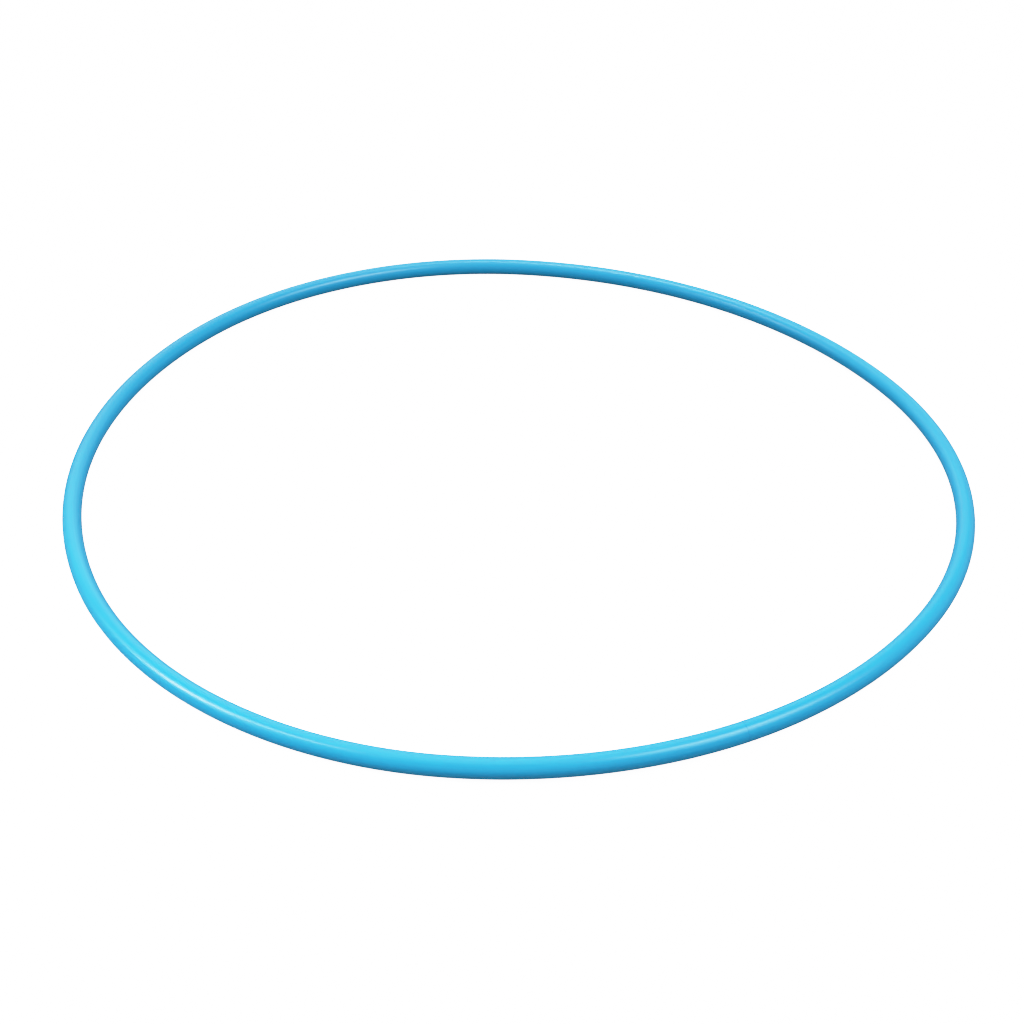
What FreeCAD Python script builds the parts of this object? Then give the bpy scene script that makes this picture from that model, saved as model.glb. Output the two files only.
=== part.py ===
"""Rhythmic gymnastics hoop, lying flat.

One length of extruded plastic tube is bent into a ring. Its two square-cut ends meet at a
hairline seam, held in line by a solid plug inside the bore. One staple on each side of the
seam is driven from the inside of the ring, through the tube wall and into the plug.

Row frame, in millimetres: +Z up, the origin at the centre of the ring's bounding box on the
plane that the hoop lies on. The seam is at the front, on the -Y side.

The ring is flat and slightly out of round. Its centreline is six tangent arcs, a flatter one
and a tighter one by turns. Such a ring measures the same across in every direction. With
RADIUS_SPREAD at 0 it would be a circle.
"""

import FreeCAD
import Part

import math
import os

from FreeCAD import Vector

# ---- driving dimensions, mm ----
INSIDE_WIDTH = 850.0  # free width inside the ring, the same in every direction
TUBE_DIAMETER = 18.0
TUBE_WALL = 2.5
RADIUS_SPREAD = 74.0  # how much larger the flatter arcs' radius is than the tighter arcs'

SEAM_GAP = 0.08  # between the two tube ends
END_BREAK = 0.12  # taken off the outer edge of each cut end, at 45 degrees
BORE_LEAD = 0.5  # chamfer on the bore of each cut end

PLUG_LENGTH = 90.0
PLUG_CLEARANCE = 0.05  # radial, between the plug's ribs and the bore
PLUG_TIP = 2.0  # chamfer on the plug's ends
RIB_HEIGHT = 0.35
RIB_WIDTH = 3.0
RIB_COUNT = 6  # on each side of the seam
RIB_PITCH = 7.0
FIRST_RIB = 6.0  # from the seam to the middle of the first rib

STAPLE_OFFSET = 20.0  # from the seam to the middle of each staple
STAPLE_CROWN = 10.6  # outside the two legs
STAPLE_LEG = 9.0  # from the crown's outer face to the points
WIRE_WIDTH = 1.27
WIRE_THICKNESS = 0.55
WIRE_BEND = 1.0  # outer radius where crown and leg meet
POINT_LENGTH = 0.9  # the chisel cut at the end of each leg
CROWN_PROUD = 0.2  # how far the crown stands out of the tube
STAPLE_CLEARANCE = 0.03  # around the wire, in the plastic

# ---- worked out from those ----
TUBE_RADIUS = TUBE_DIAMETER / 2
BORE_RADIUS = TUBE_RADIUS - TUBE_WALL
CENTRE_WIDTH = INSIDE_WIDTH + TUBE_DIAMETER
TIGHT_RADIUS = (CENTRE_WIDTH - RADIUS_SPREAD) / 2
FLAT_RADIUS = TIGHT_RADIUS + RADIUS_SPREAD
# The arcs' centres are the corners of an equilateral triangle, with RADIUS_SPREAD as its side.
CORNER_DISTANCE = RADIUS_SPREAD / math.sqrt(3)
# The triangle's middle sits this far behind the origin, so that the bounding box is centred.
TRIANGLE_Y = RADIUS_SPREAD / 2 - CORNER_DISTANCE

UP = Vector(0, 0, 1)
SEAM_ANGLE = -90.0  # degrees from +X, seen from above
ARC_ANGLE = 60.0  # what each of the six arcs turns
PLUG_RADIUS = BORE_RADIUS - PLUG_CLEARANCE
CORE_RADIUS = PLUG_RADIUS - RIB_HEIGHT


def direction(angle):
    """The level unit vector at an angle in degrees from +X."""
    turn = math.radians(angle)
    return Vector(math.cos(turn), math.sin(turn), 0)


def corner(angle):
    """The triangle's corner in that direction from its middle, at the tube's centre height."""
    return Vector(0, TRIANGLE_Y, TUBE_RADIUS) + direction(angle) * CORNER_DISTANCE


# The seam's flat arc turns about the corner opposite the seam.
SEAM_CENTRE = corner(SEAM_ANGLE + 180)


def bent_rod(centre, bend_radius, start, turn, section_radius):
    """A solid round rod bent about a vertical axis through centre."""
    outward = direction(start)
    tangent = UP.cross(outward)
    circle = Part.makeCircle(section_radius, centre + outward * bend_radius, tangent)
    return Part.Face(Part.Wire(circle)).revolve(centre, UP, turn)


def seam_angle_of(distance):
    """The angle that a distance along the seam's arc takes up, in degrees."""
    return math.degrees(distance / FLAT_RADIUS)


def rod_across_seam(first, last, section_radius):
    """A bent rod along the seam's arc, between two distances from the seam."""
    start = SEAM_ANGLE + seam_angle_of(first)
    return bent_rod(SEAM_CENTRE, FLAT_RADIUS, start, seam_angle_of(last - first), section_radius)


def ring_rods(section_radius):
    """The rods of one radius along the whole centreline, from one side of the seam to the other."""
    half_arc = FLAT_RADIUS * math.radians(ARC_ANGLE / 2)
    rods = [rod_across_seam(SEAM_GAP / 2, half_arc, section_radius)]
    for number in range(1, 6):
        middle = SEAM_ANGLE + ARC_ANGLE * number
        start = middle - ARC_ANGLE / 2
        tight = number % 2 == 1
        centre = corner(middle) if tight else corner(middle + 180)
        radius = TIGHT_RADIUS if tight else FLAT_RADIUS
        rods.append(bent_rod(centre, radius, start, ARC_ANGLE, section_radius))
    rods.append(rod_across_seam(-half_arc, -SEAM_GAP / 2, section_radius))
    return rods


def only_solid(shape):
    """The one sound solid that a shape holds. Anything else means that an operation has failed."""
    if len(shape.Solids) != 1 or not shape.isValid():
        raise ValueError(f"{len(shape.Solids)} solids, valid {shape.isValid()}")
    return shape.Solids[0]


def joined(solids):
    """Several touching solids as one, without the faces between them."""
    return only_solid(solids[0].multiFuse(solids[1:]).removeSplitter())


def end_edges(solid, radius):
    """The round edges of one radius on a solid's flat end faces."""
    ends = [face for face in solid.Faces if isinstance(face.Surface, Part.Plane)]
    edges = [edge for face in ends for edge in face.Edges if isinstance(edge.Curve, Part.Circle)]
    return [edge for edge in edges if abs(edge.Curve.Radius - radius) < 0.01]


def end_break(side):
    """A ring-shaped wedge that takes the sharp outer edge off one cut end.

    It reaches back to the middle of the seam only, so that it leaves the other end alone.
    """
    outward = direction(SEAM_ANGLE + side * seam_angle_of(SEAM_GAP / 2))
    along = UP.cross(outward) * side
    middle = SEAM_CENTRE + outward * FLAT_RADIUS
    back = SEAM_GAP / 2
    beyond = 1.0
    inner = middle + outward * (TUBE_RADIUS - END_BREAK - back) - along * back
    outer = middle + outward * (TUBE_RADIUS + beyond) - along * back
    tip = middle + outward * (TUBE_RADIUS + beyond) + along * (END_BREAK + beyond)
    outline = Part.makePolygon([inner, outer, tip, inner])
    return Part.Face(outline).revolve(middle, along, 360)


def make_tube():
    """The hollow ring with its ends broken and chamfered, before the staples are driven."""
    tube = only_solid(joined(ring_rods(TUBE_RADIUS)).cut(joined(ring_rods(BORE_RADIUS))))
    tube = only_solid(tube.makeChamfer(BORE_LEAD, end_edges(tube, BORE_RADIUS)))
    return only_solid(tube.cut([end_break(-1), end_break(1)]))


def make_plug():
    """A solid ribbed rod, bent like the tube around it, with tapered tips."""
    half = PLUG_LENGTH / 2
    core = rod_across_seam(-half, half, CORE_RADIUS)
    core = core.makeChamfer(PLUG_TIP, end_edges(core, CORE_RADIUS))
    ribs = []
    for number in range(RIB_COUNT):
        near = FIRST_RIB + number * RIB_PITCH - RIB_WIDTH / 2
        far = near + RIB_WIDTH
        ribs.append(rod_across_seam(near, far, PLUG_RADIUS))
        ribs.append(rod_across_seam(-far, -near, PLUG_RADIUS))
    return only_solid(core.multiFuse(ribs))


def staple_outline():
    """The staple's side view as a closed wire, crown up, in a plane of its own.

    X runs along the crown from its middle. Y is 0 on the crown's outer face, and the legs go down.
    """
    half = STAPLE_CROWN / 2
    inner_half = half - WIRE_THICKNESS
    inner_bend = WIRE_BEND - WIRE_THICKNESS
    corner_x = half - WIRE_BEND
    diagonal = math.sqrt(0.5)

    def bend(side, radius):
        """Start, middle and end of a quarter turn about a bend's centre, from crown to leg."""
        centre = Vector(side * corner_x, -WIRE_BEND, 0)
        return (
            centre + Vector(0, radius, 0),
            centre + Vector(side * radius * diagonal, radius * diagonal, 0),
            centre + Vector(side * radius, 0, 0),
        )

    point_y = -STAPLE_LEG
    cut_y = point_y + POINT_LENGTH
    left_outer, right_outer = bend(-1, WIRE_BEND), bend(1, WIRE_BEND)
    left_inner, right_inner = bend(-1, inner_bend), bend(1, inner_bend)

    def line(first, second):
        return Part.makeLine(first, second)

    def arc(points):
        return Part.Arc(*points).toShape()

    edges = [
        line(left_outer[0], right_outer[0]),
        arc(right_outer),
        line(right_outer[2], Vector(half, point_y, 0)),
        line(Vector(half, point_y, 0), Vector(inner_half, cut_y, 0)),
        line(Vector(inner_half, cut_y, 0), right_inner[2]),
        arc(right_inner),
        line(right_inner[0], left_inner[0]),
        arc(left_inner),
        line(left_inner[2], Vector(-inner_half, cut_y, 0)),
        line(Vector(-inner_half, cut_y, 0), Vector(-half, point_y, 0)),
        line(Vector(-half, point_y, 0), left_outer[2]),
        arc(left_outer),
    ]
    return Part.Wire(edges)


def placed_staple(side, clearance=0.0):
    """A staple in its place beside the seam, or the slot for it when clearance is given."""
    face = Part.Face(staple_outline())
    if clearance:
        face = face.makeOffset2D(clearance, join=2)
    width = WIRE_WIDTH + 2 * clearance
    staple = face.extrude(Vector(0, 0, width))
    staple.translate(Vector(0, 0, -width / 2))
    # The outline's Y points at the ring's middle, so the crown lies on the ring's inner side.
    crown_y = SEAM_CENTRE.y - (FLAT_RADIUS - TUBE_RADIUS) + CROWN_PROUD
    staple.translate(Vector(0, crown_y, TUBE_RADIUS))
    staple.rotate(SEAM_CENTRE, UP, side * seam_angle_of(STAPLE_OFFSET))
    return staple


def save(name, shape):
    """Writes one node and prints what it holds."""
    solid = only_solid(shape)
    solid.exportStep(f"parts/{name}.step")
    box = solid.optimalBoundingBox(False, False)
    print(
        f"{name}: one valid solid, {solid.Volume:.1f} mm3,"
        f" x {box.XMin:.2f}..{box.XMax:.2f}, y {box.YMin:.2f}..{box.YMax:.2f},"
        f" z {box.ZMin:.2f}..{box.ZMax:.2f}"
    )


def main():
    os.makedirs("parts", exist_ok=True)
    tube, plug = make_tube(), make_plug()
    for name, side in (("left_staple", -1), ("right_staple", 1)):
        slot = placed_staple(side, STAPLE_CLEARANCE)
        tube = only_solid(tube.cut(slot))
        plug = only_solid(plug.cut(slot))
        save(name, placed_staple(side))
    save("hoop_tube", tube)
    save("joint_plug", plug)


main()
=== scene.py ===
"""The looks of a rhythmic hoop: its plastic tube, staples and inner plug, a plain studio and the camera."""

import math

import bpy
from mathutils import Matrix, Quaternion, Vector


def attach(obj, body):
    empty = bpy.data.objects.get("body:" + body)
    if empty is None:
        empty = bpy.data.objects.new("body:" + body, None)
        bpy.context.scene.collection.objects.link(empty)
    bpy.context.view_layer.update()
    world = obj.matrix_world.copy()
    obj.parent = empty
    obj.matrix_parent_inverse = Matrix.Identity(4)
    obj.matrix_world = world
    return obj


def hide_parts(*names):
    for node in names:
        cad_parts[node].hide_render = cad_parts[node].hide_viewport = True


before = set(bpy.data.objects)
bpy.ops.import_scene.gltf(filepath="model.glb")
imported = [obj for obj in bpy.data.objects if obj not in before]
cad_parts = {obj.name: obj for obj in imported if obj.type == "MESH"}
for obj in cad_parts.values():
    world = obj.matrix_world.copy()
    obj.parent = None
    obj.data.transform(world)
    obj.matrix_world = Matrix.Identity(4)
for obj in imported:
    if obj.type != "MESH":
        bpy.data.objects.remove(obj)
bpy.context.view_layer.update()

MM = 0.001

# ---- the hoop's driving dimensions, as in the CAD model ----
INSIDE_WIDTH = 850 * MM
TUBE_RADIUS = 9 * MM
TUBE_WALL = 2.5 * MM
RADIUS_SPREAD = 74 * MM  # how much larger the flatter arcs' radius is than the tighter arcs'
SEAM_GAP = 0.08 * MM
END_ROUND = 0.12 * MM  # radius worn on the outer edge of each cut end
END_SUPPORT = 0.04 * MM  # a ring of points this far past the worn edge keeps its shading to itself
BORE_LEAD = 0.5 * MM

STAPLE_OFFSET = 20 * MM  # from the seam to the middle of each staple
STAPLE_CROWN = 10.6 * MM
STAPLE_LEG = 9 * MM
WIRE_WIDTH = 1.27 * MM
WIRE_THICKNESS = 0.55 * MM
WIRE_BEND = 1.0 * MM
WIRE_ROUND = 0.14 * MM  # radius along the flat wire's edges
POINT_LENGTH = 0.9 * MM
POINT_THICKNESS = 0.08 * MM
CROWN_PROUD = 0.2 * MM

# The skin round a staple: pressed in under the crown, with a low swollen lip beside it.
POCKET_DEPTH = 0.4 * MM
POCKET_EDGE = 0.35 * MM
LIP_HEIGHT = 0.07 * MM
LIP_REACH = 1.1 * MM

# The tube swells a little over the plug, and its two ends never meet quite level.
PLUG_REACH = 45 * MM
PLUG_SWELL = 0.06 * MM
END_STEP = 0.04 * MM

TIGHT_RADIUS = (INSIDE_WIDTH + 2 * TUBE_RADIUS - RADIUS_SPREAD) / 2
FLAT_RADIUS = TIGHT_RADIUS + RADIUS_SPREAD
CORNER_DISTANCE = RADIUS_SPREAD / math.sqrt(3)
RING_MIDDLE = Vector((0, RADIUS_SPREAD / 2 - CORNER_DISTANCE, TUBE_RADIUS))
ARC_DEGREES = 60
SEAM_FACING = -90  # degrees from +X

UP = Vector((0, 0, 1))


# ---- the ring's line ----
def level(angle):
    """The level unit vector at an angle in degrees from +X."""
    turn = math.radians(angle)
    return Vector((math.cos(turn), math.sin(turn), 0))


def corner(angle):
    """The corner, in that direction, of the triangle that the six arcs turn about."""
    return RING_MIDDLE + level(angle) * CORNER_DISTANCE


def ring_frame(turn):
    """The tube's centre and its outward direction, a turn in degrees past the seam."""
    arc = round(turn / ARC_DEGREES)
    middle = SEAM_FACING + ARC_DEGREES * arc
    outward = level(SEAM_FACING + turn)
    if arc % 2:
        return corner(middle) + outward * TIGHT_RADIUS, outward
    return corner(middle + 180) + outward * FLAT_RADIUS, outward


def length_from_seam(turn):
    """The signed length along the tube from the seam, true within the seam's own arc."""
    return math.radians((turn + 180) % 360 - 180) * FLAT_RADIUS


def steps(first, last, step):
    """Values from first to last, both included, evenly spaced and at most a step apart."""
    count = max(1, math.ceil(abs(last - first) / step))
    return [first + (last - first) * i / count for i in range(count + 1)]


def smooth(share):
    """An S-curve from 0 to 1."""
    share = min(1.0, max(0.0, share))
    return share * share * (3 - 2 * share)


# ---- the tube ----
JOINT_TURN = 4.2  # degrees each side of the seam that the plug's swelling and the staples take up
FINE_STEP = 0.045
RING_STEP = 0.8
BORE_STEP = 2.5
SECTION_STEP = 4.0
FINE_SECTION_STEP = 1.0
FINE_SECTION = 12.0  # degrees each side of the inner line where the staples sit


def section_angles():
    """Angles round the tube, from the ring's outside over the top, closer together at the staples."""
    near, far = 180 - FINE_SECTION, 180 + FINE_SECTION
    return (
        steps(0, near, SECTION_STEP)[:-1]
        + steps(near, far, FINE_SECTION_STEP)[:-1]
        + steps(far, 360, SECTION_STEP)[:-1]
    )


def pressed(length, angle):
    """How far a staple pushes the skin in, at a length from the seam and an angle round the tube."""
    beyond = abs(abs(length) - STAPLE_OFFSET) - STAPLE_CROWN / 2
    beside = abs(math.radians(angle - 180)) * TUBE_RADIUS - WIRE_WIDTH / 2
    clear = math.hypot(max(beyond, 0), max(beside, 0))
    if clear > LIP_REACH:
        return 0.0
    pocket = POCKET_DEPTH * smooth(1 - clear / POCKET_EDGE)
    lip = LIP_HEIGHT * smooth(clear / POCKET_EDGE) * smooth(1 - clear / LIP_REACH)
    return pocket - lip


def skin_radius(turn, angle):
    """The tube's outer radius, with the joint's swelling, the rounded ends and the staples' dents."""
    length = length_from_seam(turn)
    if abs(length) > 2 * PLUG_REACH:
        return TUBE_RADIUS
    swell = PLUG_SWELL * smooth(2 - abs(length) / PLUG_REACH)
    into_end = abs(length) - SEAM_GAP / 2
    missing = min(1.0, max(0.0, 1 - into_end / END_ROUND))
    worn = END_ROUND * (1 - math.sqrt(1 - missing * missing))
    return TUBE_RADIUS + swell - worn - pressed(length, angle)


def bore_radius(turn):
    """The bore's radius, with the lead-in at each end."""
    into_end = abs(length_from_seam(turn)) - SEAM_GAP / 2
    return TUBE_RADIUS - TUBE_WALL + max(0.0, BORE_LEAD - into_end)


def end_shift(turn):
    """How far the tube's centre is off the true line, so that the two ends meet with a slight step."""
    length = length_from_seam(turn)
    near = smooth(1 - abs(length) / PLUG_REACH)
    return math.copysign(END_STEP / 2 * near, length)


def add_mesh(name, points, faces):
    """A smooth-shaded mesh object."""
    mesh = bpy.data.meshes.new(name)
    mesh.from_pydata(points, [], faces)
    mesh.validate()
    mesh.polygons.foreach_set("use_smooth", [True] * len(mesh.polygons))
    piece = bpy.data.objects.new(name, mesh)
    bpy.context.scene.collection.objects.link(piece)
    return piece


def note_skin(piece, values):
    """Stores what the material needs at each point: its place round the section and along the piece."""
    attribute = piece.data.attributes.new("skin", "FLOAT_VECTOR", "POINT")
    attribute.data.foreach_set("vector", [number for value in values for number in value])


def tube_stations():
    """Turns past the seam where the outer skin has a ring of points: finest at the two ends."""
    gap_turn = math.degrees(SEAM_GAP / 2 / FLAT_RADIUS)
    round_turn = math.degrees((SEAM_GAP / 2 + END_ROUND) / FLAT_RADIUS)
    support_turn = round_turn + math.degrees(END_SUPPORT / FLAT_RADIUS)
    start = steps(gap_turn, round_turn, (round_turn - gap_turn) / 5)
    start += steps(support_turn, JOINT_TURN, FINE_STEP)[:-1]
    end = [360 - turn for turn in reversed(start)]
    return start + steps(JOINT_TURN, 360 - JOINT_TURN, RING_STEP) + end


def bore_stations():
    """The same for the bore, which nobody sees past its mouths."""
    gap_turn = math.degrees(SEAM_GAP / 2 / FLAT_RADIUS)
    lead_turn = math.degrees((SEAM_GAP / 2 + BORE_LEAD) / FLAT_RADIUS)
    return [gap_turn] + steps(lead_turn, 360 - lead_turn, BORE_STEP) + [360 - gap_turn]


def build_tube():
    """The bent tube as one closed skin: outside, end face, bore and the other end face."""
    angles = section_angles()
    around = [(angle, math.cos(math.radians(angle)), math.sin(math.radians(angle))) for angle in angles]
    points, skin = [], []
    rings = [(turn, skin_radius) for turn in tube_stations()]
    rings += [(turn, lambda turn, angle: bore_radius(turn)) for turn in reversed(bore_stations())]
    for turn, radius_at in rings:
        centre, outward = ring_frame(turn)
        centre = centre + UP * end_shift(turn)
        length = math.radians(turn) * FLAT_RADIUS
        for angle, across, high in around:
            points.append(centre + (outward * across + UP * high) * radius_at(turn, angle))
            skin.append((across, high, length))
    count = len(around)
    faces = []
    for ring in range(len(rings)):
        first, second = ring * count, (ring + 1) % len(rings) * count
        for i in range(count):
            j = (i + 1) % count
            faces.append((first + i, second + i, second + j, first + j))
    tube = add_mesh("bent_tube", points, faces)
    note_skin(tube, skin)
    return tube


# ---- the staples ----
BEND_STEPS = 6


def wire_path():
    """The staple's middle line, from one sharp point to the other.

    Each entry is a place, its outward side and the length back from the nearer point. X runs along the
    crown, and Y is 0 on the crown's outer face.
    """
    half = (STAPLE_CROWN - WIRE_THICKNESS) / 2
    bend = WIRE_BEND - WIRE_THICKNESS / 2
    leg = STAPLE_LEG - WIRE_BEND
    right = []
    for share in steps(0, 1, 1 / 8):
        right.append((Vector(((half - bend) * share, -WIRE_THICKNESS / 2, 0)), Vector((0, 1, 0)), STAPLE_LEG))
    for angle in steps(90, 0, 90 / BEND_STEPS)[1:]:
        side = level(angle)
        place = Vector((half - bend, -WIRE_BEND, 0)) + side * bend
        right.append((place, side, STAPLE_LEG))
    downs = [leg * share for share in (0.25, 0.5, 0.75)] + steps(leg - POINT_LENGTH, leg, POINT_LENGTH / 4)
    for down in downs:
        right.append((Vector((half, -WIRE_BEND - down, 0)), Vector((1, 0, 0)), leg - down))
    flip = Vector((-1, 1, 1))
    left = [(place * flip, side * flip, back) for place, side, back in reversed(right[1:])]
    return left + right


def wire_section():
    """The flat wire's rounded rectangle: offsets outward and across, anticlockwise."""
    points = []
    for quarter, (outward, across) in enumerate(((1, 1), (-1, 1), (-1, -1), (1, -1))):
        middle = Vector((
            outward * (WIRE_THICKNESS / 2 - WIRE_ROUND),
            across * (WIRE_WIDTH / 2 - WIRE_ROUND),
        ))
        for angle in steps(quarter * 90, quarter * 90 + 90, 30):
            turn = math.radians(angle)
            points.append(middle + Vector((math.cos(turn), math.sin(turn))) * WIRE_ROUND)
    return points


def staple_place(side, point):
    """A point of the staple's own plane, moved to its place beside the seam."""
    seam_centre = corner(SEAM_FACING + 180)
    crown_face = FLAT_RADIUS - TUBE_RADIUS - CROWN_PROUD
    angle = SEAM_FACING + side * math.degrees(STAPLE_OFFSET / FLAT_RADIUS)
    outward = level(angle)
    along = UP.cross(outward)
    return seam_centre + outward * (crown_face - point.y) + along * point.x + UP * point.z


def build_staple(name, side):
    """One flat-wire staple with rounded edges and chisel points, driven in from the ring's inner side."""
    section = wire_section()
    points, skin = [], []
    path = wire_path()
    for number, (place, outer_side, back) in enumerate(path):
        share = min(1.0, back / POINT_LENGTH)
        thinning = (POINT_THICKNESS / WIRE_THICKNESS) * (1 - share) + share
        for offset in section:
            outward = WIRE_THICKNESS / 2 - (WIRE_THICKNESS / 2 - offset.x) * thinning
            point = place + outer_side * outward + UP * offset.y
            points.append(staple_place(side, point))
            skin.append((offset.x / WIRE_THICKNESS, offset.y / WIRE_WIDTH, number / len(path)))
    count, last = len(section), (len(path) - 1) * len(section)
    faces = [tuple(range(count)), tuple(range(last + count - 1, last - 1, -1))]
    for first in range(0, last, count):
        for i in range(count):
            j = (i + 1) % count
            faces.append((first + j, first + i, first + count + i, first + count + j))
    staple = add_mesh(name, points, faces)
    note_skin(staple, skin)
    return staple


# ---- materials ----
def new_material(name):
    """A node material with only a Principled shader: the material, its node tree and the shader."""
    material = bpy.data.materials.new(name)
    material.use_nodes = True
    tree = material.node_tree
    tree.nodes.clear()
    shader = tree.nodes.new("ShaderNodeBsdfPrincipled")
    output = tree.nodes.new("ShaderNodeOutputMaterial")
    tree.links.new(shader.outputs["BSDF"], output.inputs["Surface"])
    return material, tree, shader


def skin_noise(tree, stretch, scale, detail=2.0):
    """Noise on a piece's own skin. stretch is how fast it changes round the section and along it."""
    source = tree.nodes.new("ShaderNodeAttribute")
    source.attribute_name = "skin"
    mapping = tree.nodes.new("ShaderNodeMapping")
    mapping.inputs["Scale"].default_value = (stretch[0], stretch[0], stretch[1])
    noise = tree.nodes.new("ShaderNodeTexNoise")
    noise.inputs["Scale"].default_value = scale
    noise.inputs["Detail"].default_value = detail
    tree.links.new(source.outputs["Vector"], mapping.inputs["Vector"])
    tree.links.new(mapping.outputs["Vector"], noise.inputs["Vector"])
    return noise.outputs["Fac"]


def to_range(tree, value, low, high, start=0.35, end=0.65):
    """A value from start to end, spread over low to high."""
    spread = tree.nodes.new("ShaderNodeMapRange")
    spread.inputs["From Min"].default_value = start
    spread.inputs["From Max"].default_value = end
    spread.inputs["To Min"].default_value = low
    spread.inputs["To Max"].default_value = high
    tree.links.new(value, spread.inputs["Value"])
    return spread.outputs["Result"]


def add_bump(tree, shader, heights):
    """Chains bumps, each a height value and its distance in metres, into the shader's normal."""
    normal = None
    for height, distance in heights:
        bump = tree.nodes.new("ShaderNodeBump")
        bump.inputs["Distance"].default_value = distance
        tree.links.new(height, bump.inputs["Height"])
        if normal is not None:
            tree.links.new(normal, bump.inputs["Normal"])
        normal = bump.outputs["Normal"]
    tree.links.new(normal, shader.inputs["Normal"])


def mix_colours(tree, share, first, second):
    """A colour between two, by a value."""
    mix = tree.nodes.new("ShaderNodeMix")
    mix.data_type = "RGBA"
    mix.inputs["A"].default_value = (*first, 1)
    mix.inputs["B"].default_value = (*second, 1)
    tree.links.new(share, mix.inputs["Factor"])
    return mix.outputs["Result"]


HOOP_BLUE = (0.011, 0.415, 0.79)
HOOP_BLUE_DEEP = (0.009, 0.39, 0.76)
HOOP_ROUGHNESS = (0.225, 0.265)
HOOP_IOR = 1.53
DIE_LINE_HEIGHT = 0.01 * MM
PEEL_HEIGHT = 0.006 * MM

NYLON = (0.80, 0.78, 0.70)
NYLON_DARK = (0.72, 0.70, 0.62)
NYLON_ROUGHNESS = (0.38, 0.5)

ZINC = (0.66, 0.66, 0.64)
ZINC_DARK = (0.52, 0.52, 0.51)
ZINC_ROUGHNESS = (0.24, 0.4)


def hoop_plastic():
    """Glossy extruded plastic: even pigment with faint flow streaks, die lines and fine rubs."""
    material, tree, shader = new_material("hoop_plastic")
    streaks = skin_noise(tree, (9, 6), 1.0, 3.0)
    shade = to_range(tree, streaks, 0, 1)
    tree.links.new(mix_colours(tree, shade, HOOP_BLUE, HOOP_BLUE_DEEP), shader.inputs["Base Color"])
    rubs = skin_noise(tree, (26, 160), 1.0, 3.0)
    tree.links.new(to_range(tree, rubs, *HOOP_ROUGHNESS), shader.inputs["Roughness"])
    die_lines = skin_noise(tree, (40, 1.5), 1.0, 2.0)
    peel = skin_noise(tree, (3.6, 400), 1.0, 1.0)
    add_bump(tree, shader, [(die_lines, DIE_LINE_HEIGHT), (peel, PEEL_HEIGHT)])
    shader.inputs["IOR"].default_value = HOOP_IOR
    shader.inputs["Subsurface Weight"].default_value = 0.1
    shader.inputs["Subsurface Radius"].default_value = (0.3, 0.8, 1.0)
    shader.inputs["Subsurface Scale"].default_value = 1.5 * MM
    return material


def plug_nylon():
    """Undyed moulded nylon, slightly mottled."""
    material, tree, shader = new_material("plug_nylon")
    source = tree.nodes.new("ShaderNodeTexCoord")
    noise = tree.nodes.new("ShaderNodeTexNoise")
    noise.inputs["Scale"].default_value = 300
    tree.links.new(source.outputs["Object"], noise.inputs["Vector"])
    mottle = to_range(tree, noise.outputs["Fac"], 0, 1)
    tree.links.new(mix_colours(tree, mottle, NYLON, NYLON_DARK), shader.inputs["Base Color"])
    tree.links.new(to_range(tree, noise.outputs["Fac"], *NYLON_ROUGHNESS), shader.inputs["Roughness"])
    add_bump(tree, shader, [(noise.outputs["Fac"], 0.03 * MM)])
    return material


def staple_steel():
    """Drawn, galvanised wire with lengthwise drawing marks."""
    material, tree, shader = new_material("staple_steel")
    shader.inputs["Metallic"].default_value = 1.0
    marks = skin_noise(tree, (14, 3), 1.0, 3.0)
    shade = to_range(tree, marks, 0, 1)
    tree.links.new(mix_colours(tree, shade, ZINC, ZINC_DARK), shader.inputs["Base Color"])
    tree.links.new(to_range(tree, marks, *ZINC_ROUGHNESS), shader.inputs["Roughness"])
    add_bump(tree, shader, [(marks, 0.008 * MM)])
    return material


# ---- the object ----
def set_material(piece, material):
    piece.data.materials.clear()
    piece.data.materials.append(material)


def make_object():
    """The pieces, each on the one body, with the CAD nodes that they stand for."""
    tube = build_tube()
    set_material(tube, hoop_plastic())
    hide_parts("hoop_tube")
    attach(tube, "root")
    steel = staple_steel()
    for name, side in (("left", -1), ("right", 1)):
        staple = build_staple(f"{name}_staple_wire", side)
        set_material(staple, steel)
        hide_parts(f"{name}_staple")
        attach(staple, "root")
    set_material(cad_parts["joint_plug"], plug_nylon())


# ---- camera ----
CAMERA_AZIMUTH = -26.4  # degrees; the seam is this far to the right of the side nearest the camera
CAMERA_ELEVATION = 34.9
CAMERA_DISTANCE = 1.656
CAMERA_LENS = 60.85
CAMERA_ROLL = 1.32  # degrees anticlockwise, as seen from behind the camera
AIM_NEARER = 0.0788  # how far the point aimed at lies from the ring's middle, towards the camera
AIM_LEFT = 0.0018


def towards(azimuth, elevation):
    """The unit vector at an azimuth, anticlockwise from -Y seen from above, and an elevation."""
    a, e = math.radians(azimuth), math.radians(elevation)
    return Vector((math.sin(a) * math.cos(e), -math.cos(a) * math.cos(e), math.sin(e)))


def make_camera():
    near = towards(CAMERA_AZIMUTH, 0)
    left = near.cross(UP)
    aim = RING_MIDDLE + near * AIM_NEARER + left * AIM_LEFT
    back = towards(CAMERA_AZIMUTH, CAMERA_ELEVATION)
    data = bpy.data.cameras.new("camera")
    data.lens = CAMERA_LENS
    camera = bpy.data.objects.new("camera", data)
    camera.location = aim + back * CAMERA_DISTANCE
    camera.rotation_mode = "QUATERNION"
    roll = Quaternion((0, 0, 1), math.radians(CAMERA_ROLL))
    camera.rotation_quaternion = (-back).to_track_quat("-Z", "Y") @ roll
    bpy.context.scene.collection.objects.link(camera)
    bpy.context.scene.camera = camera


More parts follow.
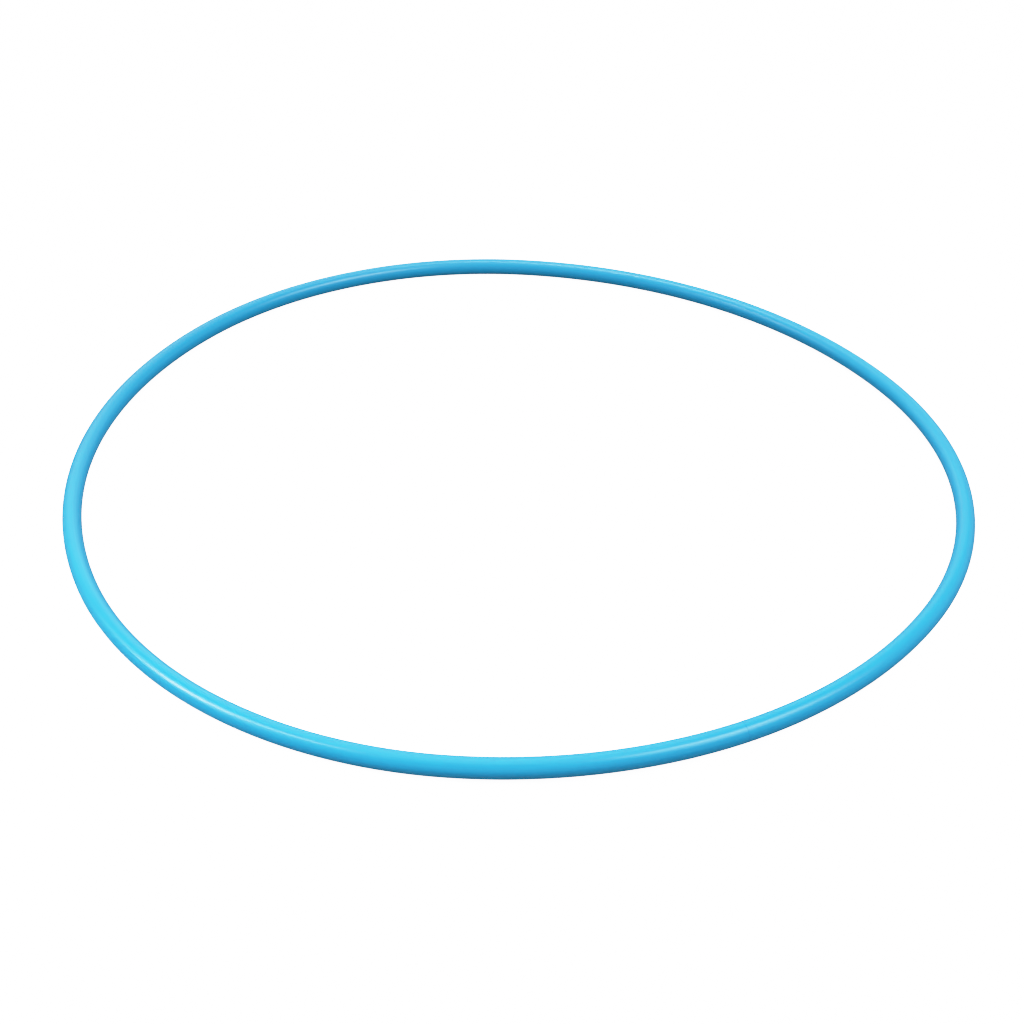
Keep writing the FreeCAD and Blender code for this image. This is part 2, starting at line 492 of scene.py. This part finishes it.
# ---- studio ----
FLOOR_SIZE = 40
FLOOR_GLOW = 1.9
CARD_SIZE = 6
CARD_GREY = 0.19
CARD_DROP = 1 * MM  # how far the card lies under the floor
AMBIENT_LIGHT = 0.56
GRID_SPREAD = 34  # degrees, over the left softboxes


def add_plane(name, size, height):
    half = size / 2
    corners = [(-half, -half, height), (half, -half, height), (half, half, height), (-half, half, height)]
    plane = add_mesh(name, corners, [(0, 1, 2, 3)])
    return plane


def make_floor():
    """A near-white floor for the camera, over a darker card that gives the hoop its bounced light."""
    floor = add_plane("floor", FLOOR_SIZE, 0)
    material = bpy.data.materials.new("floor")
    material.use_nodes = True
    tree = material.node_tree
    tree.nodes.clear()
    output = tree.nodes.new("ShaderNodeOutputMaterial")
    both = tree.nodes.new("ShaderNodeAddShader")
    diffuse = tree.nodes.new("ShaderNodeBsdfDiffuse")
    diffuse.inputs["Color"].default_value = (0.8, 0.8, 0.8, 1)
    glow = tree.nodes.new("ShaderNodeEmission")
    glow.inputs["Strength"].default_value = FLOOR_GLOW
    tree.links.new(diffuse.outputs[0], both.inputs[0])
    tree.links.new(glow.outputs[0], both.inputs[1])
    tree.links.new(both.outputs[0], output.inputs["Surface"])
    material.cycles.emission_sampling = "NONE"
    set_material(floor, material)
    for kind in ("diffuse", "glossy", "transmission", "volume_scatter", "shadow"):
        setattr(floor, f"visible_{kind}", False)
    card = add_plane("bounce_card", CARD_SIZE, -CARD_DROP)
    card.visible_camera = False
    material, tree, shader = new_material("bounce_card")
    shader.inputs["Base Color"].default_value = (CARD_GREY, CARD_GREY, CARD_GREY, 1)
    shader.inputs["Roughness"].default_value = 0.9
    set_material(card, material)


def softbox(name, azimuth, elevation, distance, width, height, radiance, spread=180, aim=RING_MIDDLE):
    """A rectangular lamp, placed from the ring's middle.

    Its azimuth is counted from the camera's, clockwise seen from above. A spread under 180 degrees is a
    grid over its front, which keeps the light near where it is aimed.
    """
    data = bpy.data.lights.new(name, "AREA")
    data.shape = "RECTANGLE"
    data.size = width
    data.size_y = height
    data.energy = radiance * math.pi * width * height
    data.spread = math.radians(spread)
    lamp = bpy.data.objects.new(name, data)
    lamp.location = RING_MIDDLE + towards(CAMERA_AZIMUTH - azimuth, elevation) * distance
    lamp.rotation_mode = "QUATERNION"
    lamp.rotation_quaternion = (aim - lamp.location).to_track_quat("-Z", "Y")
    lamp.visible_camera = False
    bpy.context.scene.collection.objects.link(lamp)


def make_world():
    """White behind the object, with a dimmer light from all round."""
    world = bpy.data.worlds.new("studio")
    bpy.context.scene.world = world
    world.use_nodes = True
    tree = world.node_tree
    tree.nodes.clear()
    output = tree.nodes.new("ShaderNodeOutputWorld")
    mix = tree.nodes.new("ShaderNodeMixShader")
    rays = tree.nodes.new("ShaderNodeLightPath")
    ambient = tree.nodes.new("ShaderNodeBackground")
    ambient.inputs["Color"].default_value = (1, 1, 1, 1)
    ambient.inputs["Strength"].default_value = AMBIENT_LIGHT
    white = tree.nodes.new("ShaderNodeBackground")
    white.inputs["Strength"].default_value = FILM_WHITE
    tree.links.new(rays.outputs["Is Camera Ray"], mix.inputs["Fac"])
    tree.links.new(ambient.outputs[0], mix.inputs[1])
    tree.links.new(white.outputs[0], mix.inputs[2])
    tree.links.new(mix.outputs[0], output.inputs["Surface"])


def make_studio():
    """Two groups of softboxes, left and right of the camera, and weaker ones behind and above the ring."""
    make_floor()
    make_world()
    near = towards(CAMERA_AZIMUTH, 0)
    left = near.cross(UP)
    near_left = RING_MIDDLE + (near + left) * 0.34
    far_right = RING_MIDDLE - near * 0.39 - left * 0.18
    grid = {"spread": GRID_SPREAD, "aim": near_left}
    softbox("left_softbox", 72, 35, 2.0, 0.7, 1.4, 0.38, **grid)
    softbox("left_softbox_low", 77, 28, 2.0, 0.5, 0.5, 0.38, **grid)
    softbox("left_softbox_high", 56, 52, 2.0, 0.5, 0.5, 0.33, **grid)
    softbox("left_fill", 76, 30, 2.4, 2.0, 1.2, 0.37, spread=90, aim=near_left)
    softbox("right_softbox", -67, 53, 2.1, 0.6, 0.7, 3.4)
    softbox("right_softbox_high", -52, 60, 2.1, 0.5, 0.4, 4.1)
    softbox("right_fill", -65, 48, 2.4, 1.6, 1.2, 2.9)
    softbox("top_softbox", 150, 86, 2.2, 1.6, 1.6, 0.75)
    softbox("top_back_softbox", 170, 56, 2.2, 1.6, 1.0, 1.0)
    softbox("far_right_softbox", 170, 63, 2.0, 0.5, 0.5, 0.36, spread=40, aim=far_right)
    softbox("back_left_softbox", 150, 27, 2.6, 2.0, 1.1, 0.84)
    softbox("back_softbox", -170, 27, 2.6, 2.0, 1.1, 0.52)


FILM_KNEE = 0.5  # linear up to here, then a soft shoulder
FILM_WHITE = 3.0


def film_value(light):
    """What the film shows for a light value."""
    if light <= FILM_KNEE:
        return light
    return 1 - (1 - FILM_KNEE) * math.exp((FILM_KNEE - light) / (1 - FILM_KNEE))


def set_film():
    """A plain display with a soft shoulder, so that bright places don't clip."""
    settings = bpy.context.scene.view_settings
    settings.view_transform = "Standard"
    settings.use_curve_mapping = True
    mapping = settings.curve_mapping
    mapping.white_level = (FILM_WHITE, FILM_WHITE, FILM_WHITE)
    curve = mapping.curves[3]
    for light in (0.25, 0.5, 0.75, 1.0, 1.4, 2.0):
        curve.points.new(light / FILM_WHITE, film_value(light))
    mapping.update()


make_camera()
make_object()
make_studio()
set_film()
